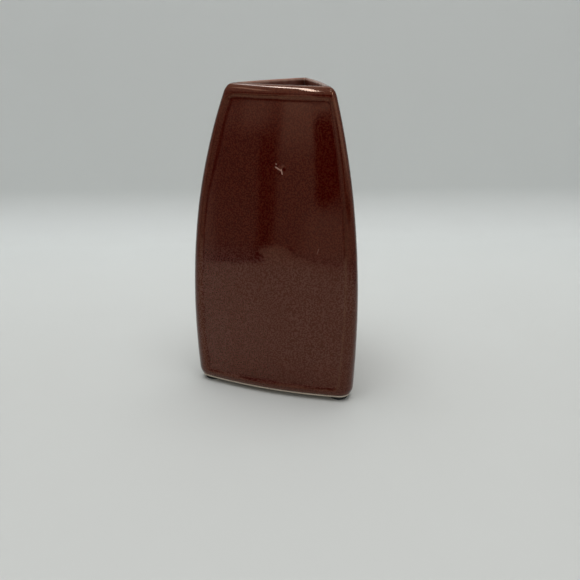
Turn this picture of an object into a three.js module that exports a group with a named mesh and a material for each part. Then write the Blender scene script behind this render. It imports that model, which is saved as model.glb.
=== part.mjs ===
// Triangular glazed vase: a hollow clay vessel with three sunk panels, the glaze coat fired onto it,
// and three foot pads stuck under its corners. Millimetres, +Z up, front face towards -Y.
import * as THREE from 'three';

// Outer form of the glazed vessel: corner tips follow one curve from foot to rim
const VESSEL_HEIGHT = 177.5;
const FOOT_REACH = 55.2; // axis to corner tip at the foot line, before its edge is rounded
const BELLY_REACH = 60.2; // pull of the curve a third of the way up
const SHOULDER_REACH = 57.7; // pull of the curve two thirds of the way up
const RIM_REACH = 35.3; // axis to corner tip at the rim, before the lip is rounded
const FACE_RADIUS = 230; // plan radius of the bowed faces
const FOOT_CORNER_RADIUS = 8.2;
const RIM_CORNER_RADIUS = 2.2;

// Wall, floor and rounded edges
const WALL = 4.9;
const FLOOR = 7;
const INNER_CORNER_RADIUS = 1; // least corner radius inside
const FLOOR_FILLET = 7;
const FOOT_ROUND_WIDTH = 2.9;
const FOOT_ROUND_HEIGHT = 5.7;
const LIP_OUTER_HEIGHT = 4.7; // rise of the lip's outer rounding
const LIP_INNER_HEIGHT = 2; // fall of its inner rounding
const LIP_CREST_SHARE = 0.66; // crest of the lip, as a share of the wall from the outside

// Sunk panel on each face, framed by the corners, the foot and the lip
const PANEL_DEPTH = 0.9;
const PANEL_BEVEL = 2.2;
const PANEL_FOOT_MARGIN = 1.2; // plain band between the foot rounding and the panel
const PANEL_RIM_MARGIN = 0.6; // plain band between the lip rounding and the panel

// Glaze coat: stops short of the foot line and leaves a band of bare clay below
const GLAZE_THICKNESS = 0.5;
const BARE_FOOT_HEIGHT = 1.2;
const BARE_FOOT_CHAMFER = 0.25;

// Foot pads and the adhesive that holds them
const PAD_DIAMETER = 10.5;
const PAD_THICKNESS = 2.2;
const PAD_EDGE_CHAMFER = 0.4;
const PAD_SETBACK = 1.5; // bare foot to pad edge
const ADHESIVE_MARGIN = 0.25; // pad edge to adhesive edge
const ADHESIVE_THICKNESS = 0.3;

// Facet counts
const PANEL_STEPS = 8; // across a panel
const CORNER_STEPS = 6;
const EDGE_STEPS = 3; // in each rounded edge
const LIP_STEPS = 4;
const RISE_STEPS = 11; // up a panel
const INNER_STEPS = 9; // down the inside
const PAD_STEPS = 32;

const FACE_ANGLES = [270, 30, 150].map(THREE.MathUtils.degToRad);
const PAD_ANGLES = { front_left: 210, front_right: 330, back: 90 };

const clay = new THREE.MeshStandardMaterial({ name: 'bare_clay', color: 0xd8c6ae, roughness: 0.9 });
const glaze = new THREE.MeshStandardMaterial({ name: 'red_brown_glaze', color: 0x3f140f, roughness: 0.12 });
const rubber = new THREE.MeshStandardMaterial({ name: 'black_rubber', color: 0x111111, roughness: 0.7 });
const adhesive = new THREE.MeshStandardMaterial({ name: 'clear_adhesive', color: 0xcfcabb, roughness: 0.5 });

const cornerCurve = new THREE.CubicBezierCurve(
  new THREE.Vector2(FOOT_REACH, 0),
  new THREE.Vector2(BELLY_REACH, VESSEL_HEIGHT / 3),
  new THREE.Vector2(SHOULDER_REACH, (2 * VESSEL_HEIGHT) / 3),
  new THREE.Vector2(RIM_REACH, VESSEL_HEIGHT),
);

// Horizontal section at a height, moved inwards from the outer face by an inset:
// three bowed sides joined by tangent corner arcs
function sectionAt(height, inset, leastCorner = INNER_CORNER_RADIUS) {
  const level = height / VESSEL_HEIGHT;
  const outerCorner = THREE.MathUtils.lerp(FOOT_CORNER_RADIUS, RIM_CORNER_RADIUS, level);
  const outerReach = cornerCurve.getPoint(level).x - outerCorner;
  const outerSpan = FACE_RADIUS - outerCorner;
  const sideCentre = (outerReach - Math.sqrt(4 * outerSpan ** 2 - 3 * outerReach ** 2)) / 2;
  const sideRadius = FACE_RADIUS - inset;
  const cornerRadius = Math.max(outerCorner - inset, leastCorner);
  const span = sideRadius - cornerRadius;
  const cornerReach = (sideCentre + Math.sqrt(4 * span ** 2 - 3 * sideCentre ** 2)) / 2;
  const halfAngle = Math.asin((cornerReach * Math.sin(Math.PI / 3)) / span);
  return { sideCentre, sideRadius, cornerRadius, cornerReach, halfAngle };
}

const panelBottom = FOOT_ROUND_HEIGHT + PANEL_FOOT_MARGIN;
const panelTop = VESSEL_HEIGHT - LIP_OUTER_HEIGHT - PANEL_RIM_MARGIN;

// How far the panel is sunk at a height and at a distance along the face from the corner arc
function panelSink(height, fromCorner) {
  const nearest = Math.min(height - panelBottom, panelTop - height, fromCorner);
  return PANEL_DEPTH * THREE.MathUtils.clamp(nearest / PANEL_BEVEL, 0, 1);
}

// One closed ring of points at a height: each face from corner arc to corner arc, then the next corner
function ringAt({ inset, height, sunk }) {
  const { sideCentre, sideRadius, cornerRadius, cornerReach, halfAngle } = sectionAt(height, inset);
  const halfFace = sideRadius * halfAngle;
  const halfPanel = halfFace - PANEL_BEVEL;
  const along = [-halfFace];
  for (let i = 0; i <= PANEL_STEPS; i++) along.push(halfPanel * ((2 * i) / PANEL_STEPS - 1));
  along.push(halfFace);
  const ring = [];
  for (const face of FACE_ANGLES) {
    for (const s of along) {
      const radius = sideRadius - (sunk ? panelSink(height, halfFace - Math.abs(s)) : 0);
      const turn = face + s / sideRadius;
      ring.push(new THREE.Vector3(
        sideCentre * Math.cos(face) + radius * Math.cos(turn),
        sideCentre * Math.sin(face) + radius * Math.sin(turn),
        height,
      ));
    }
    const corner = face + Math.PI / 3;
    const sweep = Math.PI / 3 - halfAngle;
    for (let i = 1; i < CORNER_STEPS; i++) {
      const turn = corner + sweep * ((2 * i) / CORNER_STEPS - 1);
      ring.push(new THREE.Vector3(
        cornerReach * Math.cos(corner) + cornerRadius * Math.cos(turn),
        cornerReach * Math.sin(corner) + cornerRadius * Math.sin(turn),
        height,
      ));
    }
  }
  return ring;
}

const bareTurn = Math.acos(1 - BARE_FOOT_HEIGHT / FOOT_ROUND_HEIGHT);
const lipCrest = WALL * LIP_CREST_SHARE;

// Wall section from the glaze edge up the outside, over the lip and down to the floor,
// for a surface lying a depth below the glazed one
function wallProfile(depth) {
  const rows = [];
  for (let i = 0; i <= EDGE_STEPS; i++) {
    const turn = THREE.MathUtils.lerp(bareTurn, Math.PI / 2, i / EDGE_STEPS);
    rows.push({
      inset: FOOT_ROUND_WIDTH - (FOOT_ROUND_WIDTH - depth) * Math.sin(turn),
      height: FOOT_ROUND_HEIGHT * (1 - Math.cos(turn)),
    });
  }
  rows.push({ inset: depth, height: panelBottom, sunk: true });
  const panelRise = panelTop - panelBottom - 2 * PANEL_BEVEL;
  for (let i = 0; i <= RISE_STEPS; i++) {
    const height = panelBottom + PANEL_BEVEL + (panelRise * i) / RISE_STEPS;
    rows.push({ inset: depth, height, sunk: true });
  }
  rows.push({ inset: depth, height: panelTop, sunk: true });
  for (let i = 0; i <= LIP_STEPS; i++) {
    const turn = (Math.PI / 2) * (i / LIP_STEPS);
    rows.push({
      inset: lipCrest - (lipCrest - depth) * Math.cos(turn),
      height: VESSEL_HEIGHT - LIP_OUTER_HEIGHT + (LIP_OUTER_HEIGHT - depth) * Math.sin(turn),
    });
  }
  for (let i = 1; i <= LIP_STEPS; i++) {
    const turn = (Math.PI / 2) * (i / LIP_STEPS);
    rows.push({
      inset: lipCrest + (WALL - lipCrest - depth) * Math.sin(turn),
      height: VESSEL_HEIGHT - LIP_INNER_HEIGHT + (LIP_INNER_HEIGHT - depth) * Math.cos(turn),
    });
  }
  const innerFall = VESSEL_HEIGHT - LIP_INNER_HEIGHT - FLOOR - FLOOR_FILLET;
  for (let i = 1; i < INNER_STEPS; i++) {
    const height = VESSEL_HEIGHT - LIP_INNER_HEIGHT - (innerFall * i) / INNER_STEPS;
    rows.push({ inset: WALL - depth, height });
  }
  for (let i = 0; i <= EDGE_STEPS; i++) {
    const turn = (Math.PI / 2) * (i / EDGE_STEPS);
    rows.push({
      inset: WALL + FLOOR_FILLET - (FLOOR_FILLET + depth) * Math.cos(turn),
      height: FLOOR + FLOOR_FILLET - (FLOOR_FILLET + depth) * Math.sin(turn),
    });
  }
  return rows;
}

// Collects rings and fans into one closed surface
class Surface {
  constructor() {
    this.points = [];
    this.faces = [];
  }

  addRing(ring) {
    const first = this.points.length;
    this.points.push(...ring);
    return ring.map((_, i) => first + i);
  }

  addFace(a, b, c, flipped) {
    this.faces.push(...(flipped ? [b, a, c] : [a, b, c]));
  }

  addBand(lower, upper, flipped = false) {
    lower.forEach((a, i) => {
      const next = (i + 1) % lower.length;
      this.addFace(a, lower[next], upper[next], flipped);
      this.addFace(a, upper[next], upper[i], flipped);
    });
  }

  addFan(ring, centre, flipped = false) {
    const hub = this.points.push(centre) - 1;
    ring.forEach((a, i) => this.addFace(a, ring[(i + 1) % ring.length], hub, flipped));
  }

  geometry() {
    const geometry = new THREE.BufferGeometry().setFromPoints(this.points);
    geometry.setIndex(this.faces);
    geometry.computeVertexNormals();
    return geometry;
  }
}

function loft(surface, rows, flipped) {
  const rings = rows.map((row) => surface.addRing(ringAt(row)));
  for (let i = 1; i < rings.length; i++) surface.addBand(rings[i - 1], rings[i], flipped);
  return rings;
}

const glazeProfile = wallProfile(0);
const clayProfile = wallProfile(GLAZE_THICKNESS);
const footInset = clayProfile[0].inset;
const bareProfile = [
  { inset: footInset + BARE_FOOT_CHAMFER, height: 0 },
  { inset: footInset, height: BARE_FOOT_CHAMFER },
];

function clayGeometry() {
  const surface = new Surface();
  const rings = loft(surface, [...bareProfile, ...clayProfile]);
  surface.addFan(rings[0], new THREE.Vector3(0, 0, 0), true);
  surface.addFan(rings.at(-1), new THREE.Vector3(0, 0, FLOOR - GLAZE_THICKNESS));
  return surface.geometry();
}

// The glaze's free skin and its clay side, closed along the edge above the bare foot
function glazeGeometry() {
  const surface = new Surface();
  const skin = loft(surface, glazeProfile);
  surface.addFan(skin.at(-1), new THREE.Vector3(0, 0, FLOOR));
  const seat = loft(surface, clayProfile, true);
  surface.addFan(seat.at(-1), new THREE.Vector3(0, 0, FLOOR - GLAZE_THICKNESS), true);
  surface.addBand(seat[0], skin[0]);
  return surface.geometry();
}

// Upright disc between two heights, its lower edge chamfered
function discGeometry(radius, bottom, top, chamfer) {
  const profile = [
    [0, bottom],
    [radius - chamfer, bottom],
    [radius, bottom + chamfer],
    [radius, top],
    [0, top],
  ];
  const points = profile.map(([x, y]) => new THREE.Vector2(x, y));
  return new THREE.LatheGeometry(points, PAD_STEPS).rotateX(Math.PI / 2);
}

function namedMesh(name, geometry, material) {
  const mesh = new THREE.Mesh(geometry, material);
  mesh.name = name;
  return mesh;
}

const vase = new THREE.Group();
vase.name = 'triangular_vase';
vase.add(namedMesh('clay_body', clayGeometry(), clay));
vase.add(namedMesh('glaze_coat', glazeGeometry(), glaze));

// Pads nest into the corners of the foot line, with the adhesive between them and the clay
const padRadius = PAD_DIAMETER / 2;
const padCorner = sectionAt(0, footInset + PAD_SETBACK, padRadius);
const padReach = padCorner.cornerReach + padCorner.cornerRadius - padRadius;
const padTop = -ADHESIVE_THICKNESS;
for (const [place, degrees] of Object.entries(PAD_ANGLES)) {
  const angle = THREE.MathUtils.degToRad(degrees);
  const at = [padReach * Math.cos(angle), padReach * Math.sin(angle), 0];
  const film = discGeometry(padRadius - ADHESIVE_MARGIN, padTop, 0, 0).translate(...at);
  const pad = discGeometry(padRadius, padTop - PAD_THICKNESS, padTop, PAD_EDGE_CHAMFER).translate(...at);
  vase.add(namedMesh(`pad_adhesive_${place}`, film, adhesive));
  vase.add(namedMesh(`foot_pad_${place}`, pad, rubber));
}

// Origin at the middle of the whole object's footprint, on the surface it stands on
const box = new THREE.Box3().setFromObject(vase, true);
const middle = box.getCenter(new THREE.Vector3());
vase.position.set(-middle.x, -middle.y, -box.min.z);

export default vase;
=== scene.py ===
"""Looks of a triangular glazed vase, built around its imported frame. Sizes in millimetres, scene in metres."""
import math
from types import SimpleNamespace

import bpy
import numpy as np
from mathutils import Matrix, Vector, noise


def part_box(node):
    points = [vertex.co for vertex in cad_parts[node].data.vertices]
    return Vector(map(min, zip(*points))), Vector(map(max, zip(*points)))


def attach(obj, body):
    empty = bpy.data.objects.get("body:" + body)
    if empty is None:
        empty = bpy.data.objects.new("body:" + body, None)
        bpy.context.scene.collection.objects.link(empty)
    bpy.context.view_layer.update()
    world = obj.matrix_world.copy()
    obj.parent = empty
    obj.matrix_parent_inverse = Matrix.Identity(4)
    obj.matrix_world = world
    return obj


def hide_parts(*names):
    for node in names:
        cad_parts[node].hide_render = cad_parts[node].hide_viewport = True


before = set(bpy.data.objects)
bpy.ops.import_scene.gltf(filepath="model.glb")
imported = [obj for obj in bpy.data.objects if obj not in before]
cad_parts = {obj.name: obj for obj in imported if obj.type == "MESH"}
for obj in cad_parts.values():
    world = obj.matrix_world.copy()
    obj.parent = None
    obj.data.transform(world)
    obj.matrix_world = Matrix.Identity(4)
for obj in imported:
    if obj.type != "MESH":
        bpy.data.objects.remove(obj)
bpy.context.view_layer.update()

MM = 0.001

# Outer form of the glazed vessel, as in the solids
VESSEL_HEIGHT = 177.5
CORNER_REACHES = (55.2, 60.2, 57.7, 35.3)
FACE_RADIUS = 230.0
FACE_TURNS = tuple(math.radians(angle) for angle in (270, 30, 150))
FOOT_CORNER_RADIUS = 8.2
RIM_CORNER_RADIUS = 2.2
INNER_CORNER_RADIUS = 1.0
WALL = 4.9
FLOOR = 7.0
FLOOR_FILLET = 7.0
FOOT_ROUND_WIDTH = 2.9
FOOT_ROUND_HEIGHT = 5.7
LIP_OUTER_HEIGHT = 4.7
LIP_INNER_HEIGHT = 2.0
LIP_CREST_SHARE = 0.66
LIP_CREST = LIP_CREST_SHARE * WALL
GLAZE_THICKNESS = 0.5
BARE_FOOT_HEIGHT = 1.2
BARE_FOOT_CHAMFER = 0.25

# Sunk panels, with a bevel that eases into the panel
BEVEL_SLOPE = 0.45
BEVEL_ROUND = 0.5
BEVEL_FLAT = 1.7
BEVEL_EASE = 1.2
PANEL_CORNER = 4.0
PANEL_BOTTOM = 4.2
PANEL_LIP_GAP = 0.6
PANEL_TOP = VESSEL_HEIGHT - LIP_OUTER_HEIGHT - PANEL_LIP_GAP
PANEL_BORDER = BEVEL_FLAT + BEVEL_EASE + PANEL_CORNER

# Foot pads, with a rounded lower edge and a chamfered upper one
PADS = ("front_left", "front_right", "back")
PAD_ROUND = 0.4
PAD_CHAMFER = 0.2
PAD_FLAT_MARGIN = 0.88

# Hand-made unevenness of the glazed walls: depth and spread of slow and quick swells
SLOW_SWELL = 0.08
SLOW_SPREAD = 45.0
QUICK_SWELL = 0.011
QUICK_SPREAD = 9.0
QUICK_OFFSET = 60.0

# Unevenness of the panels' edges: shift of the outline, and share by which the bevel varies near the foot
EDGE_WAVER = 0.22
EDGE_SPREAD = 13.0
SLOPE_WAVER = 0.7
SLOPE_SPREAD = 12.0
SLOPE_WAVER_HEIGHT = 40.0
FACE_APART = 40.0

# The left bevel of each panel is wider and shallower towards the top, by a share from one height to another
LEFT_FLARE = 0.40
LEFT_FLARE_FROM = 100.0
LEFT_FLARE_TO = 140.0

# Kiln flaws on the front face, by distance from its middle and height: a low blister and broken streaks
BLISTER = (5.2, 133.4)
BLISTER_RADIUS = 3.3
BLISTER_RISE = 0.34
STREAK_DEPTH = 0.12
STREAK_FADE = 1.5

# Each streak: its two ends, half width and strength
STREAKS = (
    ((1.9, 134.6), (5.2, 133.0), 0.34, 0.75),
    ((5.2, 133.6), (5.9, 131.2), 0.30, 1.0),
    ((1.9, 136.4), (2.2, 136.1), 0.24, 0.7),
    ((27.8, 88.5), (28.7, 91.5), 0.16, 0.22),
)

# Where the flaws need a close mesh: from and to across the face, and in height
FLAW_ZONES = (((-0.5, 8.6), (129.7, 137.4)), ((26.8, 29.8), (87.3, 92.7)))
FLAW_STEP = 0.16

# Thin glaze: share, place and spread on the panels' edges, with more at the top
THIN_EDGE = 0.18
THIN_EDGE_PLACE = 0.4
THIN_EDGE_SPREAD = 0.9
THIN_TOP_EDGE = 0.35
THIN_TOP_DEPTH = 8.0
THIN_TOP_FADE = 6.0
# Painted highlight along the bevels on the right of each panel, low down: share, place, spread, and fade from
# the panel's middle
RIGHT_BEVEL_HIGHLIGHT = 0.45
RIGHT_BEVEL_HIGHLIGHT_PLACE = 0.9
RIGHT_BEVEL_HIGHLIGHT_SPREAD = 0.5
RIGHT_BEVEL_HIGHLIGHT_FADE = 10.0

# Thin glaze on the lip and above the foot
THIN_LIP = 0.8
THIN_FOOT = 0.7
THIN_FOOT_FADE = 3.0

# Pooled glaze in the panels' grooves, less so at the right and broken into dashes low down
POOL_PLACE = BEVEL_FLAT + 1.0
POOL_SPREAD = 0.55
POOL_RIGHT_FADE = 16.0
DASH_SPREAD = 7.0
DASH_MIDDLE = 0.4
DASH_GAIN = 1.4
DASH_SHARE = 0.85
DASH_FROM = 135.0
DASH_FADE = 40.0

# Lower part, where the corners are duller and the right bevels get a painted highlight
LOW_FROM = 130.0
LOW_FADE = 40.0
DULL_CORNER = 0.3

# Inside, by depth below the rim: painted light over the whole inside and more under the lip, with painted shade
# towards the corners; wear on the lip's inner edge, and a painted highlight in the corners' creases
INSIDE_LIGHT_SHARE = 0.8
UNDER_LIP_LIGHT_SHARE = 0.9
UNDER_LIP_LIGHT_DEPTH = 12.0
UNDER_LIP_LIGHT_FADE = 10.0
UNDER_LIP_CORNER_SHADE_FADE = 8.0
WORN_DEPTH = 0.7
WORN_SPREAD = 0.8
# Painted highlight in the inner corners' creases: spread across the corner, depth below the rim and fade
CREASE_HIGHLIGHT_SPREAD = 0.35
CREASE_HIGHLIGHT_DEPTH = 9.0
CREASE_HIGHLIGHT_FADE = 6.0

# Painted reflection of the pale floor: a lighter, more speckled lower half, with less of it near the foot as
# painted shade where the floor's contact shadow is mirrored
FLOOR_SHEEN_FROM = 94.0
FLOOR_SHEEN_FADE = 22.0
FLOOR_SHEEN_FOOT_SHADE = 0.3
FLOOR_SHEEN_FOOT_SHADE_FROM = 28.0
FLOOR_SHEEN_FOOT_SHADE_FADE = 16.0

# Glaze tones: dark and light for the speckle, then one for each kind of place
CALM_TONES = ((0.042, 0.0002, 0.0001, 1.0), (0.073, 0.0098, 0.0042, 1.0))
# Dark and light speckle of the lower half, lighter and greyer as a painted reflection of the floor
FLOOR_SHEEN_TONES = ((0.039, 0.0005, 0.0003, 1.0), (0.085, 0.0280, 0.0262, 1.0))
MOTTLE_TONE = (0.048, 0.0015, 0.0006, 1.0)
POOLED_TONE = (0.034, 0.0008, 0.0003, 1.0)
# Thin glaze, also used for the painted highlight on the right bevels
THIN_GLAZE_AND_HIGHLIGHT_TONE = (0.105, 0.040, 0.020, 1.0)
# Painted light that makes the dimly lit inside lighter
INSIDE_LIGHT_TONE = (0.18, 0.042, 0.026, 1.0)
# Painted light on the inner wall just under the lip
UNDER_LIP_LIGHT_TONE = (0.42, 0.185, 0.140, 1.0)
# Wear on the lip's inner edge, also used for the painted highlight in the corners' creases
WORN_AND_CREASE_HIGHLIGHT_TONE = (0.26, 0.185, 0.145, 1.0)
BROKEN_TONE = (0.52, 0.30, 0.24, 1.0)
MOTTLE_SHARE = 0.30
POOLED_SHARE = 0.4

# Gloss of the glaze, and of the glaze where it is dull
GLAZE_IOR = 1.62
GLAZE_TINT = (1.0, 0.57, 0.37, 1.0)
GLAZE_SPECULAR = 0.5
DULL_SPECULAR = 0.12

# Tones of the other materials, dark and light, and of the clay's iron spots
CLAY_TONES = ((0.58, 0.48, 0.37, 1.0), (0.68, 0.59, 0.48, 1.0))
CLAY_SPOT_TONE = (0.22, 0.11, 0.06, 1.0)
CLAY_SPOT_SHARE = 0.6
RUBBER_TONES = ((0.008, 0.008, 0.008, 1.0), (0.022, 0.021, 0.020, 1.0))
ADHESIVE_TONES = ((0.50, 0.46, 0.38, 1.0), (0.70, 0.66, 0.58, 1.0))

# Mesh steps, and the angle above which an edge is sharp
BORDER_STEPS = 28
MIDDLE_STEPS = 32
RISE_STEPS = 60
CORNER_STEPS = 14
EDGE_STEPS = 14
LIP_STEPS = 16
INNER_STEPS = 40
BEVEL_STEPS = 81
BARE_FOOT_STEPS = 3
PAD_STEPS = 64
PAD_ROUND_STEPS = 8
SHARP_ANGLE = math.radians(50)
PAD_SHARP_ANGLE = math.radians(35)

# Hidden surfaces keep one row in so many
HIDDEN_ROW_STEP = 3

# Camera, from the photograph's perspective
CAMERA_AZIMUTH = math.radians(18.11)
CAMERA_PITCH = math.radians(20.71)
CAMERA_ROLL = math.radians(0.52)
CAMERA_DISTANCE = 460.5
CAMERA_AIM_SIDE = 1.48
CAMERA_AIM_HEIGHT = 52.3
CAMERA_CLIP_START = 0.01
LENS = 45.93
SENSOR = 36.0

# Pale sweep in metres: a floor that curves up into a wall behind the vase, with painted light that makes it
# lighter on the way
SWEEP_FRONT = 1.6
SWEEP_BACK = 0.327
SWEEP_BEND = 0.045
SWEEP_BEND_STEPS = 16
SWEEP_SLANT = 0.075
SWEEP_HEIGHT = 0.6
SWEEP_HALF_WIDTH = 1.6
SHADED_FRONT_TONE = (0.592, 0.603, 0.582, 1.0)
LIT_BACK_TONE = (0.690, 0.713, 0.700, 1.0)
PAINTED_LIGHT_FROM = -0.05
PAINTED_LIGHT_TO = 0.275

# What the glaze mirrors in front, in metres: a dim room on an upright card, and the ground round a pale sheet
ROOM_CARD_DEPTH = 1.0
ROOM_CARD_HALF_WIDTH = 2.4
ROOM_CARD_HEIGHT = 1.0
ROOM_CARD_STEP = 0.02
GROUND_CARD_LIFT = 0.0005
GROUND_CARD_BACK = 0.1
GROUND_STEPS = 40
GROUND_NEAREST = 0.05
RIGHT_GLOW = 0.3

# The pale sheet's outline: how far ahead it reaches, with a left corner, and where it ends at the sides
SHEET_FRONT = 0.424
SHEET_SLANT = 0.2
SHEET_CORNER = 0.06
SHEET_CORNER_FROM = -0.22
SHEET_CORNER_WIDTH = 0.10
SHEET_RIGHT = 0.30
SHEET_LEFT_NEAR = -0.4155
SHEET_LEFT_SLANT = 0.45
SHEET_LEFT_FAR = -0.365
SHEET_LEFT_STEP_FROM = 0.33
SHEET_LEFT_STEP_WIDTH = 0.10
SHEET_SHADE = 0.40
SHEET_SHADE_WIDTH = 0.09

# The room's middle bands lean to the right low down
ROOM_LEAN = 0.03
ROOM_LEAN_FROM = 0.30
ROOM_LEAN_FADE = 0.2

# Room patches: glow added, share lost, whether it leans, then from, to and softness across and in height
ANYWHERE = (-math.inf, math.inf, 1.0)
BRIGHT_BAND = (-0.69, 2.4, 0.07)
ROOM_GLOW = 0.16
ROOM_GAIN = 1.08
ROOM_PATCHES = (
    (0.03, 0.0, False, ANYWHERE, (-math.inf, 0.10, 0.20)),
    (0.13, 0.0, False, ANYWHERE, (0.48, math.inf, 0.12)),
    (0.14, 0.0, False, (-1.20, -0.86, 0.14), (0.45, math.inf, 0.14)),
    (0.20, 0.0, False, (-math.inf, -1.75, 0.50), ANYWHERE),
    (0.0, 0.78, True, (-0.92, -0.73, 0.07), (-math.inf, 0.42, 0.12)),
    (0.23, 1.0, True, BRIGHT_BAND, ANYWHERE),
    (0.27, 0.0, True, BRIGHT_BAND, (0.36, math.inf, 0.20)),
    (0.15, 0.0, True, BRIGHT_BAND, (0.50, math.inf, 0.08)),
    (0.13, 0.0, False, (-0.425, math.inf, 0.15), (-math.inf, 0.09, 0.10)),
    (0.0, 0.70, False, (-1.5, -0.1, 0.30), (0.64, 0.86, 0.08)),
    (0.35, 0.0, False, (0.20, math.inf, 0.40), (0.45, math.inf, 0.10)),
    (0.20, 0.0, False, ANYWHERE, (0.93, math.inf, 0.10)),
    (0.0, 0.95, False, (-0.46, -0.25, 0.06), (0.54, 0.82, 0.06)),
    (0.0, 0.75, False, (-0.20, 1.2, 0.30), (0.08, 0.22, 0.06)),
)

# A dark upright form in the room, which slants a little and has a rounded foot
DARK_LOSS = 0.96
DARK_ACROSS = (-0.39, 0.15, 0.025)
DARK_SLANT = 0.18
DARK_SLANT_RISE = 0.30
DARK_TOP = 0.48
DARK_TOP_FADE = 0.08
DARK_FOOT = 0.10
DARK_FOOT_FADE = 0.05
DARK_FOOT_ROUND = 0.05
DARK_FOOT_MIDDLE = -0.30
DARK_FOOT_HALF_WIDTH = 0.09

# Plain soft light: a wide box overhead, and an even room with levels for lighting, mirrors and plain sight
BOX_PLACE = (0.0, -0.06, 1.4)
BOX_SIZE = 1.15
BOX_POWER = 15.0
ROOM_LEVEL = 0.33
MIRRORED_ROOM_LEVEL = 0.45
SEEN_ROOM_LEVEL = 0.40
WHITE = (1.0, 1.0, 1.0, 1.0)

# Lamps that only the glaze mirrors: two ends to the right of and behind the vase, width, brightness, colour
MIRRORED_LAMP_HEIGHT = 0.93
PLAIN_LIGHT = (1.0, 1.0, 1.0)
COOL_LIGHT = (0.78, 1.0, 1.2)
MIRRORED_LAMPS = {
    "near_strip": ((-0.11, -0.58), (-0.165, -0.20), 0.055, 21.0, COOL_LIGHT),
    "middle_strip": ((-0.165, -0.20), (-0.30, -0.03), 0.08, 24.0, COOL_LIGHT),
    "far_strip": ((-0.30, -0.03), (-0.41, 0.26), 0.07, 6.6, COOL_LIGHT),
    "left_strip": ((-0.45, -0.78), (-0.52, -0.36), 0.10, 1.8, PLAIN_LIGHT),
    "end_spot": ((-0.005, -0.52), (-0.021, -0.18), 0.010, 26.0, COOL_LIGHT),
    "right_strip": ((0.42, -0.90), (0.41, -0.40), 0.22, 6.0, PLAIN_LIGHT),
    "back_glow": ((-0.26, 0.28), (-0.26, 0.72), 0.50, 1.3, PLAIN_LIGHT),
}

# The vessel's axis and foot, from the frame
pad_boxes = [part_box(f"foot_pad_{place}") for place in PADS]
AXIS = sum(((low + high) / 2 for low, high in pad_boxes), Vector()) / len(PADS)
FOOT_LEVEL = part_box("clay_body")[0].z


def smooth(value):
    """Eases from 0 to 1."""
    value = np.clip(value, 0.0, 1.0)
    return value * value * (3.0 - 2.0 * value)


def bell(value, spread):
    """1 at zero, falling off both ways."""
    return np.exp(-((value / spread) ** 2))


def plateau(value, low, high, soft):
    """1 between two limits, easing to 0 outside them."""
    return smooth((value - low) / soft + 0.5) * smooth((high - value) / soft + 0.5)


def quarter(steps):
    """Angles of a quarter turn."""
    return np.linspace(0.0, math.pi / 2, steps + 1)


def section(height, inset):
    """Side arcs and corner arcs of the vessel at a height, moved inwards by an inset."""
    level = height / VESSEL_HEIGHT
    rest = 1.0 - level
    foot, belly, shoulder, rim = CORNER_REACHES
    tip = foot * rest**3 + 3 * belly * level * rest**2 + 3 * shoulder * level**2 * rest + rim * level**3
    outer_corner = FOOT_CORNER_RADIUS + (RIM_CORNER_RADIUS - FOOT_CORNER_RADIUS) * level
    outer_reach = tip - outer_corner
    outer_span = FACE_RADIUS - outer_corner
    centre = (outer_reach - np.sqrt(4 * outer_span**2 - 3 * outer_reach**2)) / 2
    radius = FACE_RADIUS - inset
    corner = np.maximum(outer_corner - inset, INNER_CORNER_RADIUS)
    span = radius - corner
    reach = (centre + np.sqrt(4 * span**2 - 3 * centre**2)) / 2
    half_turn = np.arcsin(reach * math.sin(math.pi / 3) / span)
    return centre, radius, corner, reach, half_turn


def with_close_steps(places, start, end, step):
    """Places along a line, with close steps from a start to an end."""
    outside = places[(places < start) | (places > end)]
    return np.sort(np.concatenate([outside, np.arange(start, end, step)]))


def panel_heights():
    """Heights of the wall's rows: close at the panel's edges and at the flaws, wider between."""
    low = np.linspace(PANEL_BOTTOM, PANEL_BOTTOM + PANEL_BORDER, BORDER_STEPS + 1)
    high = np.linspace(PANEL_TOP - PANEL_BORDER, PANEL_TOP, BORDER_STEPS + 1)
    middle = np.linspace(low[-1], high[0], RISE_STEPS + 1)
    for _, rise in FLAW_ZONES:
        middle = with_close_steps(middle, *rise, FLAW_STEP)
    return np.unique(np.concatenate([low, middle, high]))


def foot_inset(height, depth):
    """Inset of the wall, which rounds in towards the foot."""
    below = max(1 - height / FOOT_ROUND_HEIGHT, 0.0)
    return FOOT_ROUND_WIDTH - (FOOT_ROUND_WIDTH - depth) * math.sqrt(1 - below * below)


def wall_rows(depth):
    """Rows of inset, height, sunk and outside share, from the glaze's edge over the lip to the floor."""
    foot_heights = np.linspace(BARE_FOOT_HEIGHT, PANEL_BOTTOM, EDGE_STEPS + 1)[:-1]
    rows = [(foot_inset(height, depth), height, 0, 1) for height in foot_heights]
    rows += [(foot_inset(height, depth), height, 1, 1) for height in panel_heights()]
    for turn in quarter(LIP_STEPS):
        inset = LIP_CREST - (LIP_CREST - depth) * math.cos(turn)
        rise = (LIP_OUTER_HEIGHT - depth) * math.sin(turn)
        rows.append((inset, VESSEL_HEIGHT - LIP_OUTER_HEIGHT + rise, 0, 1))
    for turn in quarter(LIP_STEPS)[1:]:
        inset = LIP_CREST + (WALL - LIP_CREST - depth) * math.sin(turn)
        rise = (LIP_INNER_HEIGHT - depth) * math.cos(turn)
        rows.append((inset, VESSEL_HEIGHT - LIP_INNER_HEIGHT + rise, 0, 0))
    inner = np.linspace(VESSEL_HEIGHT - LIP_INNER_HEIGHT, FLOOR + FLOOR_FILLET, INNER_STEPS + 1)
    rows += [(WALL - depth, height, 0, 0) for height in inner[1:-1]]
    for turn in quarter(EDGE_STEPS):
        inset = WALL + FLOOR_FILLET - (FLOOR_FILLET + depth) * math.cos(turn)
        rows.append((inset, FLOOR + FLOOR_FILLET - (FLOOR_FILLET + depth) * math.sin(turn), 0, 0))
    return np.array(rows)


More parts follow.
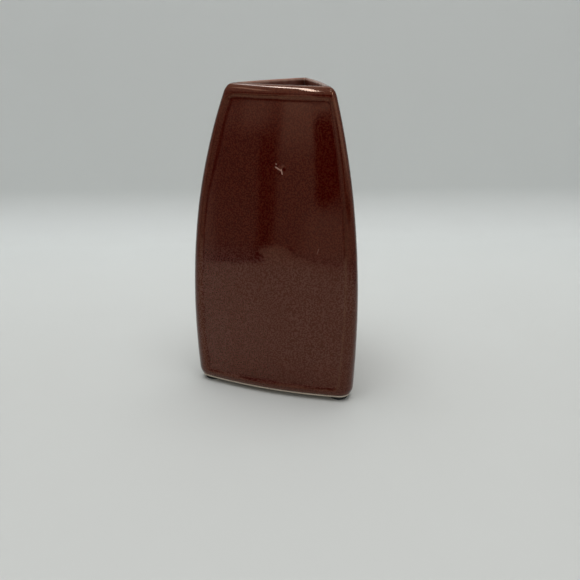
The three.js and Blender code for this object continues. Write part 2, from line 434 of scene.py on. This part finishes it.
def hidden_rows():
    """Rows of the surface where the glaze sits on the clay, which needs fewer of them."""
    rows = wall_rows(GLAZE_THICKNESS)
    return np.concatenate([rows[:-1:HIDDEN_ROW_STEP], rows[-1:]])


def middle_shares(with_flaws):
    """Places across a panel between its borders, from -1 to 1, closer together at the flaws."""
    shares = np.linspace(-1, 1, MIDDLE_STEPS + 1)[1:-1]
    if not with_flaws:
        return shares
    for (start, end), rise in FLAW_ZONES:
        _, radius, _, _, half_turn = section(np.mean(rise), 0.0)
        half = radius * half_turn - PANEL_BORDER
        shares = with_close_steps(shares, start / half, end / half, FLAW_STEP / half)
    return shares


def ring_columns(with_flaws):
    """Columns round the vase: face turn, kind and value.

    Kind -1 and 1 are a panel's left and right border, by distance from its side. Kind 0 is the middle
    between them and kind 2 the corner after the face, both by share from -1 to 1.
    """
    columns = []
    border = np.linspace(0, PANEL_BORDER, BORDER_STEPS + 1)
    corner = np.linspace(-1, 1, CORNER_STEPS + 1)[1:-1]
    for turn in FACE_TURNS:
        columns += [(turn, -1, distance) for distance in border]
        columns += [(turn, 0, share) for share in middle_shares(with_flaws and turn == FACE_TURNS[0])]
        columns += [(turn, 1, distance) for distance in border[::-1]]
        columns += [(turn, 2, share) for share in corner]
    return np.array(columns)


def panel_distance(height, from_side):
    """Distance inside the panel's outline, which has rounded corners. Negative outside."""
    across = np.minimum(height - PANEL_BOTTOM, PANEL_TOP - height)
    plain = np.minimum(across, from_side)
    rounded = PANEL_CORNER - np.hypot(PANEL_CORNER - across, PANEL_CORNER - from_side)
    in_corner = (across < PANEL_CORNER) & (from_side < PANEL_CORNER)
    return np.where(in_corner, rounded, plain)


def bevel_sink(inside):
    """Depth of the panel's edge by the distance inside its outline."""
    steps = np.linspace(0, BEVEL_FLAT + BEVEL_EASE, BEVEL_STEPS)
    slope = BEVEL_SLOPE * smooth(steps / BEVEL_ROUND) * (1 - smooth((steps - BEVEL_FLAT) / BEVEL_EASE))
    return np.interp(inside, steps, np.cumsum(slope) * steps[1])


def streak_share(side, height):
    """Share to which the glaze is broken by a streak, from 0 to 1."""
    broken = np.zeros(side.shape)
    for (s0, h0), (s1, h1), half_width, strength in STREAKS:
        run = np.array((s1 - s0, h1 - h0))
        along = np.clip(((side - s0) * run[0] + (height - h0) * run[1]) / (run @ run), 0, 1)
        gap = np.hypot(side - s0 - along * run[0], height - h0 - along * run[1])
        broken = np.maximum(broken, strength * smooth(STREAK_FADE - gap / half_width))
    return broken


def waver(points, spread):
    """Slow noise at each point, about -1 to 1."""
    values = [noise.noise(Vector(point) / spread) for point in points.reshape(-1, 3).tolist()]
    return np.array(values).reshape(points.shape[:-1])


def swell(points):
    """Uneven thickness of hand-made walls at each point, in millimetres."""
    slow = SLOW_SWELL * waver(points, SLOW_SPREAD)
    return slow + QUICK_SWELL * waver(points + QUICK_OFFSET, QUICK_SPREAD)


def vessel_grid(rows, columns):
    """Where a lofted sheet's points lie: on which arc, how far along it and how far inside a panel."""
    inset, height, sunk, outside = (rows[:, i, None] for i in range(4))
    turn, kind, value = (columns[None, :, i] for i in range(3))
    centre, radius, corner, reach, half_turn = section(height, inset)
    half = radius * half_turn
    on_corner = kind == 2
    side = np.where(kind == 0, value * (half - PANEL_BORDER), np.sign(kind) * (half - value))
    from_side = np.where(on_corner, 0.0, half - np.abs(side))
    flare = LEFT_FLARE * smooth((height - LEFT_FLARE_FROM) / (LEFT_FLARE_TO - LEFT_FLARE_FROM)) * (side < 0)
    along = np.stack(np.broadcast_arrays(side, height, FACE_APART * turn), axis=-1)
    inside = panel_distance(height, from_side * (1 - flare)) + EDGE_WAVER * waver(along, EDGE_SPREAD)
    front = (turn == FACE_TURNS[0]) & ~on_corner & (sunk > 0)
    corner_turn = turn + math.pi / 3
    return SimpleNamespace(
        height=height, sunk=sunk, outside=outside, value=value, on_corner=on_corner, front=front,
        half=half, side=side, from_side=from_side, along=along, inside=inside,
        broken=np.where(front, streak_share(side, height), 0.0),
        hub=np.where(on_corner, reach, centre),
        hub_turn=np.where(on_corner, corner_turn, turn),
        facing=np.where(on_corner, corner_turn + (math.pi / 3 - half_turn) * value, turn + side / radius),
        arm=np.where(on_corner, corner, radius),
    )


def vessel_points(grid, uneven):
    """Points of a lofted sheet about the vessel's axis, with or without the unevenness and the flaws."""
    slack = SLOPE_WAVER * smooth(1 - grid.height / SLOPE_WAVER_HEIGHT)
    sink = bevel_sink(grid.inside) * (1 + slack * waver(grid.along, SLOPE_SPREAD)) * grid.sunk
    arm = grid.arm - np.where(grid.on_corner, 0.0, sink)
    x = grid.hub * np.cos(grid.hub_turn) + arm * np.cos(grid.facing)
    y = grid.hub * np.sin(grid.hub_turn) + arm * np.sin(grid.facing)
    points = np.stack([x, y, np.broadcast_to(grid.height, x.shape)], axis=-1)
    if uneven:
        blister = np.hypot(grid.side - BLISTER[0], grid.height - BLISTER[1]) / BLISTER_RADIUS
        push = np.where(grid.front, BLISTER_RISE * smooth(1 - blister), 0.0)
        push += swell(points) * grid.outside - STREAK_DEPTH * grid.broken
        points[..., 0] += push * np.cos(grid.facing)
        points[..., 1] += push * np.sin(grid.facing)
    return points


def thin_glaze_and_highlight_share(grid, low):
    """Share to which the glaze is thin, on the panels' edges, the lip and the foot, with a painted highlight
    added along the right bevels low down.
    """
    # painted highlight along the right bevels, in the lower part
    right_bevel_highlight_share = smooth(grid.side / RIGHT_BEVEL_HIGHLIGHT_FADE) * low
    bare_top = smooth((grid.height - PANEL_TOP + THIN_TOP_DEPTH) / THIN_TOP_FADE)
    edge = (THIN_EDGE + THIN_TOP_EDGE * bare_top) * bell(grid.inside - THIN_EDGE_PLACE, THIN_EDGE_SPREAD)
    edge += RIGHT_BEVEL_HIGHLIGHT * right_bevel_highlight_share * bell(grid.inside - RIGHT_BEVEL_HIGHLIGHT_PLACE, RIGHT_BEVEL_HIGHLIGHT_SPREAD)
    lip = smooth((grid.height - VESSEL_HEIGHT + LIP_OUTER_HEIGHT) / LIP_OUTER_HEIGHT)
    foot = smooth((PANEL_BOTTOM - grid.height) / THIN_FOOT_FADE) * grid.outside
    return np.clip(edge * grid.sunk + THIN_LIP * lip + THIN_FOOT * foot, 0, 1)


def pooled_share(grid):
    """Share to which the glaze is pooled in the panels' grooves."""
    groove = bell(grid.inside - POOL_PLACE, POOL_SPREAD) * grid.sunk
    groove = groove * smooth((grid.half - grid.side) / POOL_RIGHT_FADE)
    dashes = smooth(DASH_MIDDLE + DASH_GAIN * waver(grid.along, DASH_SPREAD))
    return groove * (1 - (1 - DASH_SHARE * dashes) * smooth((DASH_FROM - grid.height) / DASH_FADE))


def glaze_finish(grid):
    """How the glaze differs over the sheet, with painted light, shade and reflections among the kinds, each
    kind by its share from 0 to 1.
    """
    inner = 1 - grid.outside
    depth = VESSEL_HEIGHT - grid.height
    low = smooth((LOW_FROM - grid.height) / LOW_FADE)
    pooled = pooled_share(grid)
    # painted light under the lip, fading into painted shade towards the inner corners
    under_lip_light = smooth((UNDER_LIP_LIGHT_DEPTH - depth) / UNDER_LIP_LIGHT_FADE) * smooth(grid.from_side / UNDER_LIP_CORNER_SHADE_FADE)
    # painted highlight in the inner corners' creases
    crease_highlight = bell(grid.value, CREASE_HIGHLIGHT_SPREAD) * grid.on_corner * smooth((CREASE_HIGHLIGHT_DEPTH - depth) / CREASE_HIGHLIGHT_FADE)
    # Painted reflection of the floor on the lower half, with painted shade near the foot
    floor_sheen = smooth((FLOOR_SHEEN_FROM - grid.height) / FLOOR_SHEEN_FADE) * grid.outside
    finish = {
        # thin glaze, and the painted highlight on the right bevels
        "thin_glaze_and_highlight": thin_glaze_and_highlight_share(grid, low),
        "pooled": pooled,
        "dull": np.maximum(pooled, DULL_CORNER * grid.on_corner * low),
        # painted light over the inside
        "inner": INSIDE_LIGHT_SHARE * inner,
        "under_lip_light": UNDER_LIP_LIGHT_SHARE * under_lip_light * inner,
        "worn_and_crease_highlight": np.minimum(bell(depth - WORN_DEPTH, WORN_SPREAD) + crease_highlight, 1) * inner,
        "floor_sheen": floor_sheen * (1 - FLOOR_SHEEN_FOOT_SHADE * smooth((FLOOR_SHEEN_FOOT_SHADE_FROM - grid.height) / FLOOR_SHEEN_FOOT_SHADE_FADE)),
        "broken": grid.broken,
    }
    return {key: np.broadcast_to(values, grid.side.shape) for key, values in finish.items()}


def band_faces(first, rows, columns, flipped=False):
    """Quads of a closed sheet whose points start at an index."""
    grid = first + np.arange(rows * columns).reshape(rows, columns)
    a, d = grid[:-1], grid[1:]
    b, c = np.roll(a, -1, axis=1), np.roll(d, -1, axis=1)
    corners = (b, a, d, c) if flipped else (a, b, c, d)
    return np.stack(corners, axis=-1).reshape(-1, 4).tolist()


def fan_faces(first, columns, hub, flipped=False):
    """Triangles from a ring of points, which start at an index, to a hub."""
    ring = list(range(first, first + columns))
    pairs = zip(ring, ring[1:] + ring[:1])
    return [(b, a, hub) if flipped else (a, b, hub) for a, b in pairs]


def in_frame(points):
    """Vessel millimetres to the frame's metres."""
    return np.asarray(points) * MM + np.array((AXIS.x, AXIS.y, FOOT_LEVEL))


def set_attribute(mesh, name, values):
    """A number at each point of a mesh, for its material."""
    layer = mesh.attributes.new(name, "FLOAT", "POINT")
    layer.data.foreach_set("value", np.asarray(values, np.float32))


def new_piece(name, points, faces, attributes, material, node, sharp_angle=SHARP_ANGLE):
    """A smooth-shaded mesh that stands for a CAD node and rides on the one body."""
    mesh = bpy.data.meshes.new(name)
    mesh.from_pydata(points.tolist(), [], faces)
    for key, values in attributes.items():
        set_attribute(mesh, key, values)
    mesh.shade_smooth()
    mesh.set_sharp_from_angle(angle=sharp_angle)
    mesh.materials.append(material)
    piece = bpy.data.objects.new(name, mesh)
    bpy.context.scene.collection.objects.link(piece)
    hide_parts(node)
    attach(piece, "root")


class Shader:
    """One material's nodes, added step by step."""

    def __init__(self, name):
        self.material = bpy.data.materials.new(name)
        self.material.use_nodes = True
        self.tree = self.material.node_tree
        self.surface = self.tree.nodes["Principled BSDF"]
        self.place = self.tree.nodes.new("ShaderNodeTexCoord").outputs["Object"]

    def feed(self, socket, value):
        if isinstance(value, bpy.types.NodeSocket):
            self.tree.links.new(value, socket)
        else:
            socket.default_value = value

    def add(self, kind, inputs, **settings):
        made = self.tree.nodes.new(kind)
        for key, value in settings.items():
            setattr(made, key, value)
        for key, value in inputs.items():
            self.feed(made.inputs[key], value)
        return made

    def noise(self, scale, detail, roughness=0.5):
        inputs = {"Vector": self.place, "Scale": scale, "Detail": detail, "Roughness": roughness}
        return self.add("ShaderNodeTexNoise", inputs).outputs["Fac"]

    def attribute(self, name):
        return self.add("ShaderNodeAttribute", {}, attribute_name=name).outputs["Fac"]

    def between(self, value, low, high, to_low=0.0, to_high=1.0):
        inputs = {"Value": value, "From Min": low, "From Max": high, "To Min": to_low, "To Max": to_high}
        return self.add("ShaderNodeMapRange", inputs).outputs["Result"]

    def plus(self, a, b):
        return self.add("ShaderNodeMath", {0: a, 1: b}, operation="ADD").outputs[0]

    def times(self, a, b):
        return self.add("ShaderNodeMath", {0: a, 1: b}, operation="MULTIPLY").outputs[0]

    def mix(self, share, a, b):
        return self.add("ShaderNodeMix", {0: share, 6: a, 7: b}, data_type="RGBA").outputs[2]

    def bump(self, height, distance):
        inputs = {"Height": height, "Distance": distance, "Strength": 1.0}
        return self.add("ShaderNodeBump", inputs).outputs["Normal"]

    def finish(self, sockets):
        for key, value in sockets.items():
            self.feed(self.surface.inputs[key], value)
        return self.material


def glaze_material():
    """Deep red-brown glaze: fine dense speckle and slow mottling, and a tone for each kind of place, some of
    them painted light, shade and reflections.
    """
    shader = Shader("red_brown_glaze")
    speckle = shader.between(shader.noise(scale=1150, detail=1), 0.45, 0.57)
    mottle = shader.between(shader.noise(scale=60, detail=4), 0.3, 0.75)
    patchy = shader.between(shader.noise(scale=240, detail=3), 0.3, 0.7, 0.35, 1.0)
    calm = shader.mix(speckle, *CALM_TONES)
    # Speckle made lighter as a painted reflection of the floor
    floor_sheen = shader.mix(speckle, *FLOOR_SHEEN_TONES)
    colour = shader.mix(shader.attribute("floor_sheen"), calm, floor_sheen)
    layers = (
        (shader.times(mottle, MOTTLE_SHARE), MOTTLE_TONE),
        (shader.times(shader.attribute("pooled"), POOLED_SHARE), POOLED_TONE),
        # thin glaze, and the painted highlight on the right bevels
        (shader.times(shader.attribute("thin_glaze_and_highlight"), patchy), THIN_GLAZE_AND_HIGHLIGHT_TONE),
        # painted light over the inside
        (shader.attribute("inner"), INSIDE_LIGHT_TONE),
        # painted light under the lip
        (shader.times(shader.attribute("under_lip_light"), patchy), UNDER_LIP_LIGHT_TONE),
        # wear on the lip's inner edge, and the painted highlight in the creases
        (shader.times(shader.attribute("worn_and_crease_highlight"), patchy), WORN_AND_CREASE_HIGHLIGHT_TONE),
        (shader.attribute("broken"), BROKEN_TONE),
    )
    for share, tone in layers:
        colour = shader.mix(share, colour, tone)
    peel = shader.plus(shader.noise(scale=260, detail=2), shader.times(speckle, 0.10))
    return shader.finish({
        "Base Color": colour,
        "Roughness": shader.between(speckle, 0, 1, 0.05, 0.09),
        "Normal": shader.bump(peel, distance=0.000014),
        "IOR": GLAZE_IOR,
        "Specular IOR Level": shader.between(shader.attribute("dull"), 0, 1, GLAZE_SPECULAR, DULL_SPECULAR),
        "Specular Tint": GLAZE_TINT,
    })


def clay_material():
    """Bare fired clay: cream, matte, finely grained, with a few iron spots."""
    shader = Shader("bare_clay")
    grain = shader.noise(scale=1800, detail=4, roughness=0.7)
    colour = shader.mix(shader.between(shader.noise(scale=90, detail=3), 0.3, 0.7), *CLAY_TONES)
    spots = shader.between(shader.noise(scale=900, detail=1), 0.68, 0.74)
    colour = shader.mix(shader.times(spots, CLAY_SPOT_SHARE), colour, CLAY_SPOT_TONE)
    return shader.finish({
        "Base Color": colour,
        "Roughness": 0.88,
        "Normal": shader.bump(grain, distance=0.00012),
    })


def rubber_material():
    """Black rubber with a fine moulded grain and a little dust."""
    shader = Shader("black_rubber")
    dust = shader.between(shader.noise(scale=700, detail=3), 0.5, 0.8)
    return shader.finish({
        "Base Color": shader.mix(dust, *RUBBER_TONES),
        "Roughness": shader.between(dust, 0, 1, 0.55, 0.8),
        "Normal": shader.bump(shader.noise(scale=2600, detail=2), distance=0.00004),
    })


def adhesive_material():
    """Milky adhesive film, a little cloudy."""
    shader = Shader("clear_adhesive")
    cloud = shader.noise(scale=500, detail=4)
    return shader.finish({
        "Base Color": shader.mix(cloud, *ADHESIVE_TONES),
        "Roughness": 0.45,
        "Normal": shader.bump(cloud, distance=0.00003),
    })


def paper_material():
    """Plain pale paper, with painted light that makes it a little lighter towards the back, and a barely seen
    unevenness.
    """
    shader = Shader("pale_paper")
    cloud = shader.between(shader.noise(scale=9, detail=3), 0.3, 0.7, -0.06, 0.06)
    share = shader.plus(shader.attribute("share"), cloud)
    return shader.finish({"Base Color": shader.mix(share, SHADED_FRONT_TONE, LIT_BACK_TONE), "Roughness": 0.75})


def glow_material():
    """Plain brightness, by the glow at each point."""
    shader = Shader("mirrored_room")
    shader.tree.nodes.remove(shader.surface)
    output = shader.tree.nodes["Material Output"]
    lit = shader.add("ShaderNodeEmission", {"Strength": shader.attribute("glow")})
    shader.feed(output.inputs["Surface"], lit.outputs["Emission"])
    return shader.material


def build_glaze():
    """The glaze coat: an outer skin, a hidden side that sits on the clay, and the edge between them."""
    columns = ring_columns(with_flaws=True)
    around = len(columns)
    skin_grid = vessel_grid(wall_rows(0.0), columns)
    skin = vessel_points(skin_grid, uneven=True)
    seat = vessel_points(vessel_grid(hidden_rows(), columns), uneven=False)
    skin_total = len(skin) * around
    total = skin_total + len(seat) * around
    hubs = [(0, 0, FLOOR), (0, 0, FLOOR - GLAZE_THICKNESS)]
    points = np.concatenate([skin.reshape(-1, 3), seat.reshape(-1, 3), hubs])
    faces = band_faces(0, len(skin), around) + band_faces(skin_total, len(seat), around, flipped=True)
    faces += fan_faces(skin_total - around, around, total)
    faces += fan_faces(total - around, around, total + 1, flipped=True)
    next_one = [(i + 1) % around for i in range(around)]
    faces += [(skin_total + i, skin_total + j, j, i) for i, j in enumerate(next_one)]
    plain = np.zeros(len(points) - skin_total)
    finish = glaze_finish(skin_grid)
    attributes = {key: np.concatenate([values.ravel(), plain]) for key, values in finish.items()}
    new_piece(
        "glaze_skin", in_frame(points), faces, attributes, glaze_material(), "glaze_coat"
    )


def build_clay():
    """The clay vessel: a flat underside, the bare foot line, and the surface that the glaze sits on."""
    columns = ring_columns(with_flaws=False)
    around = len(columns)
    rows = hidden_rows()
    edge_inset = rows[0, 0]
    bare = [(edge_inset + chamfers * BARE_FOOT_CHAMFER, 0, 0, 0) for chamfers in (2, 1)]
    bare_heights = np.linspace(BARE_FOOT_CHAMFER, BARE_FOOT_HEIGHT, BARE_FOOT_STEPS + 1)[:-1]
    bare += [(edge_inset, height, 0, 0) for height in bare_heights]
    shell = vessel_points(vessel_grid(np.concatenate([np.array(bare), rows]), columns), uneven=False)
    total = len(shell) * around
    points = np.concatenate([shell.reshape(-1, 3), [(0, 0, 0), (0, 0, FLOOR - GLAZE_THICKNESS)]])
    faces = band_faces(0, len(shell), around)
    faces += fan_faces(0, around, total, flipped=True)
    faces += fan_faces(total - around, around, total + 1)
    new_piece("clay_vessel", in_frame(points), faces, {}, clay_material(), "clay_body")


def build_pad(place_name, low, high, material):
    """A moulded disc with a rounded lower edge and a chamfered upper one."""
    radius = (high.x - low.x) / 2
    height = high.z - low.z
    edge = PAD_ROUND * MM
    chamfer = PAD_CHAMFER * MM
    profile = [(radius - PAD_FLAT_MARGIN * MM, 0.0)]
    for turn in quarter(PAD_ROUND_STEPS):
        profile.append((radius - edge + edge * math.sin(turn), edge - edge * math.cos(turn)))
    profile += [(radius, height - chamfer), (radius - chamfer, height)]
    centre = (low + high) / 2
    turns = np.linspace(0, 2 * math.pi, PAD_STEPS, endpoint=False)
    circle = np.stack([np.cos(turns), np.sin(turns), np.zeros(PAD_STEPS)], axis=1)
    rings = [circle * reach + (centre.x, centre.y, low.z + rise) for reach, rise in profile]
    hubs = [(centre.x, centre.y, low.z), (centre.x, centre.y, high.z)]
    points = np.concatenate(rings + [hubs])
    total = len(rings) * PAD_STEPS
    faces = band_faces(0, len(rings), PAD_STEPS)
    faces += fan_faces(0, PAD_STEPS, total, flipped=True)
    faces += fan_faces(total - PAD_STEPS, PAD_STEPS, total + 1)
    node = f"foot_pad_{place_name}"
    new_piece(f"rubber_{place_name}", points, faces, {}, material, node, PAD_SHARP_ANGLE)


def build_pads():
    rubber = rubber_material()
    for pad_name, (pad_low, pad_high) in zip(PADS, pad_boxes):
        build_pad(pad_name, pad_low, pad_high, rubber)


def dress_adhesive():
    """The adhesive discs keep their solids' meshes and get a material."""
    film = adhesive_material()
    for pad_name in PADS:
        film_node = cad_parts[f"pad_adhesive_{pad_name}"]
        film_node.data.materials.clear()
        film_node.data.materials.append(film)


def turned(point):
    """From the camera's upright frame round the vase's axis to the scene."""
    return Matrix.Rotation(CAMERA_AZIMUTH, 3, "Z") @ Vector(point)


def axis_point(side, depth, rise):
    """A point to the right of, behind and above the place where the vase stands, as the camera sees it."""
    return Vector((AXIS.x, AXIS.y, 0)) + turned((side, depth, rise))


def build_camera():
    """The camera at the photograph's viewing angle."""
    ahead = turned((0, math.cos(CAMERA_PITCH), -math.sin(CAMERA_PITCH)))
    level_right = turned((1, 0, 0))
    level_up = level_right.cross(ahead)
    right = level_right * math.cos(CAMERA_ROLL) + level_up * math.sin(CAMERA_ROLL)
    up = level_up * math.cos(CAMERA_ROLL) - level_right * math.sin(CAMERA_ROLL)
    foot_centre = Vector((AXIS.x, AXIS.y, FOOT_LEVEL))
    aim = foot_centre + turned((CAMERA_AIM_SIDE * MM, 0, CAMERA_AIM_HEIGHT * MM))
    camera_data = bpy.data.cameras.new("camera")
    camera_data.lens = LENS
    camera_data.sensor_width = SENSOR
    camera_data.clip_start = CAMERA_CLIP_START
    camera = bpy.data.objects.new("camera", camera_data)
    camera.matrix_world = Matrix((right, up, -ahead)).transposed().to_4x4()
    camera.location = aim - ahead * CAMERA_DISTANCE * MM
    bpy.context.scene.collection.objects.link(camera)
    bpy.context.scene.camera = camera


def stage_mesh(name, points, faces, material):
    """A mesh that belongs to the stage and not to the part."""
    mesh = bpy.data.meshes.new(name)
    mesh.from_pydata(points, [], faces)
    mesh.shade_smooth()
    mesh.materials.append(material)
    made = bpy.data.objects.new(name, mesh)
    bpy.context.scene.collection.objects.link(made)
    return made


def build_sweep():
    """Pale paper that lies as a floor and curves up behind the vase."""
    flat_depths = (-SWEEP_FRONT, PAINTED_LIGHT_FROM, PAINTED_LIGHT_TO, SWEEP_BACK - SWEEP_BEND)
    profile = [(depth, 0.0) for depth in flat_depths]
    for turn in quarter(SWEEP_BEND_STEPS)[1:]:
        depth = SWEEP_BACK - SWEEP_BEND * (1 - math.sin(turn))
        profile.append((depth, SWEEP_BEND * (1 - math.cos(turn))))
    profile.append((SWEEP_BACK, SWEEP_HEIGHT))
    points = []
    shares = []
    for depth, rise in profile:
        slant = SWEEP_SLANT * (depth >= PAINTED_LIGHT_TO)
        for side in (-SWEEP_HALF_WIDTH, SWEEP_HALF_WIDTH):
            points.append(axis_point(side, depth + slant * side, rise))
            # share of painted light on the paper, growing towards the back
            shares.append(np.clip((depth - PAINTED_LIGHT_FROM) / (PAINTED_LIGHT_TO - PAINTED_LIGHT_FROM), 0, 1))
    faces = [(i, i + 1, i + 3, i + 2) for i in range(0, len(points) - 2, 2)]
    sweep = stage_mesh("sweep", points, faces, paper_material())
    set_attribute(sweep.data, "share", shares)


def dark_share(side, rise):
    """Share to which the dark upright form covers the room."""
    off_middle = np.minimum(((side - DARK_FOOT_MIDDLE) / DARK_FOOT_HALF_WIDTH) ** 2, 1)
    foot = DARK_FOOT + DARK_FOOT_ROUND * off_middle
    across = plateau(side + DARK_SLANT * (rise - DARK_SLANT_RISE), *DARK_ACROSS)
    below_top = plateau(rise, -math.inf, DARK_TOP, DARK_TOP_FADE)
    return across * below_top * plateau(rise, foot, math.inf, DARK_FOOT_FADE)


def room_glow(side, rise):
    """Brightness of the room in front, by place on its card."""
    leaned = side - ROOM_LEAN * smooth((ROOM_LEAN_FROM - rise) / ROOM_LEAN_FADE)
    glow = ROOM_GLOW
    for added, lost, leans, across, upright in ROOM_PATCHES:
        share = plateau(leaned if leans else side, *across) * plateau(rise, *upright)
        glow = glow * (1 - lost * share) + added * share
    return ROOM_GAIN * glow * (1 - DARK_LOSS * dark_share(side, rise))


def sheet_front(side):
    """How far the pale sheet reaches ahead of the vase, by place to the right."""
    corner = SHEET_CORNER * smooth((SHEET_CORNER_FROM - side) / SHEET_CORNER_WIDTH)
    return SHEET_FRONT - SHEET_SLANT * np.clip(side, SHEET_LEFT_FAR, SHEET_RIGHT) + corner


def sheet_left(depth):
    """Where the pale sheet ends at the left, by depth behind the vase. It steps out farther ahead."""
    near = SHEET_LEFT_NEAR - SHEET_LEFT_SLANT * depth
    step = smooth((-depth - SHEET_LEFT_STEP_FROM) / SHEET_LEFT_STEP_WIDTH)
    return near + (SHEET_LEFT_FAR - near) * step


def ahead_depth(side, share):
    """Depth of the ground ahead, by share from the room card to the sheet's edge."""
    return -ROOM_CARD_DEPTH + share * (ROOM_CARD_DEPTH - sheet_front(side))


def ground_depths(side):
    """Depths of the ground's rows beside the sheet, from its front edge to behind the vase."""
    return np.linspace(-sheet_front(side), GROUND_CARD_BACK, GROUND_STEPS)


def ground_glow(side, depth):
    """Brightness of the ground beyond the sheet. It carries the room's bands on and is darker by the edge."""
    beyond = np.maximum(sheet_left(depth) - side, -depth - sheet_front(side))
    shade = SHEET_SHADE * smooth(1 - beyond / SHEET_SHADE_WIDTH)
    card_side = side * ROOM_CARD_DEPTH / np.maximum(-depth, GROUND_NEAREST)
    return (1 - shade) * room_glow(card_side, np.zeros(depth.shape))


def build_card(name, material, rows, columns, place_point, glow):
    """A sheet of points by row and column that only mirrors see."""
    points = [place_point(column, row) for row in rows for column in columns]
    grid = np.arange(len(points)).reshape(len(rows), len(columns))
    corners = (grid[:-1, :-1], grid[:-1, 1:], grid[1:, 1:], grid[1:, :-1])
    faces = np.stack(corners, axis=-1).reshape(-1, 4).tolist()
    card = stage_mesh(name, points, faces, material)
    set_attribute(card.data, "glow", glow(*np.meshgrid(columns, rows)).ravel())
    card.visible_camera = False
    card.visible_diffuse = False
    card.visible_shadow = False
    card.visible_transmission = False
    card.visible_volume_scatter = False


def build_room_cards():
    """The upright room card, and the ground ahead of the sheet and at its sides."""
    material = glow_material()
    sides = np.arange(-ROOM_CARD_HALF_WIDTH, ROOM_CARD_HALF_WIDTH, ROOM_CARD_STEP)
    outward = np.arange(0.0, ROOM_CARD_HALF_WIDTH, ROOM_CARD_STEP)
    build_card(
        "room_card", material, np.arange(0.0, ROOM_CARD_HEIGHT, ROOM_CARD_STEP), sides,
        lambda side, rise: axis_point(side, -ROOM_CARD_DEPTH, rise),
        room_glow,
    )
    build_card(
        "ahead_card", material, np.linspace(0, 1, GROUND_STEPS), sides,
        lambda side, share: axis_point(side, ahead_depth(side, share), GROUND_CARD_LIFT),
        lambda side, share: ground_glow(side, ahead_depth(side, share)),
    )
    build_card(
        "left_card", material, ground_depths(SHEET_LEFT_FAR), outward,
        lambda out, depth: axis_point(sheet_left(depth) - out, depth, GROUND_CARD_LIFT),
        lambda out, depth: ground_glow(sheet_left(depth) - out, depth),
    )
    build_card(
        "right_card", material, ground_depths(SHEET_RIGHT), outward,
        lambda out, depth: axis_point(SHEET_RIGHT + out, depth, GROUND_CARD_LIFT),
        lambda out, depth: np.full(out.shape, RIGHT_GLOW),
    )


def add_lamp(name, size, length, power, location, turn):
    """A rectangular lamp that shines straight down."""
    lamp = bpy.data.lights.new(name, "AREA")
    lamp.shape = "RECTANGLE"
    lamp.size = size
    lamp.size_y = length
    lamp.energy = power
    made = bpy.data.objects.new(name, lamp)
    made.location = location
    made.rotation_euler = (0, 0, turn)
    bpy.context.scene.collection.objects.link(made)
    return made


def build_light():
    """The wide box that lights the object, and the lamps that its glaze mirrors."""
    box = add_lamp("wide_box", BOX_SIZE, BOX_SIZE, BOX_POWER, axis_point(*BOX_PLACE), CAMERA_AZIMUTH)
    box.visible_glossy = False
    for name, (front, back, width, brightness, colour) in MIRRORED_LAMPS.items():
        run = Vector(back) - Vector(front)
        middle = (Vector(front) + Vector(back)) / 2
        location = (AXIS.x + middle.x, AXIS.y + middle.y, MIRRORED_LAMP_HEIGHT)
        power = brightness * math.pi * width * run.length
        lamp = add_lamp(name, width, run.length, power, location, math.atan2(-run.x, run.y))
        lamp.data.color = colour
        lamp.visible_diffuse = False


def build_room():
    """An even white room, with its own levels for what it lights, what mirrors it and what is seen of it."""
    world = bpy.data.worlds.new("room")
    world.use_nodes = True
    tree = world.node_tree
    path = tree.nodes.new("ShaderNodeLightPath")
    level = tree.nodes.new("ShaderNodeMapRange")
    level.inputs["To Min"].default_value = ROOM_LEVEL
    level.inputs["To Max"].default_value = MIRRORED_ROOM_LEVEL
    tree.links.new(path.outputs["Is Glossy Ray"], level.inputs["Value"])
    seen = tree.nodes.new("ShaderNodeMapRange")
    seen.inputs["To Max"].default_value = SEEN_ROOM_LEVEL
    tree.links.new(path.outputs["Is Camera Ray"], seen.inputs["Value"])
    tree.links.new(level.outputs["Result"], seen.inputs["To Min"])
    background = tree.nodes["Background"]
    background.inputs["Color"].default_value = WHITE
    tree.links.new(seen.outputs["Result"], background.inputs["Strength"])
    bpy.context.scene.world = world


build_glaze()
build_clay()
build_pads()
dress_adhesive()
build_camera()
build_sweep()
build_room_cards()
build_light()
build_room()
bpy.context.scene.view_settings.view_transform = "Standard"
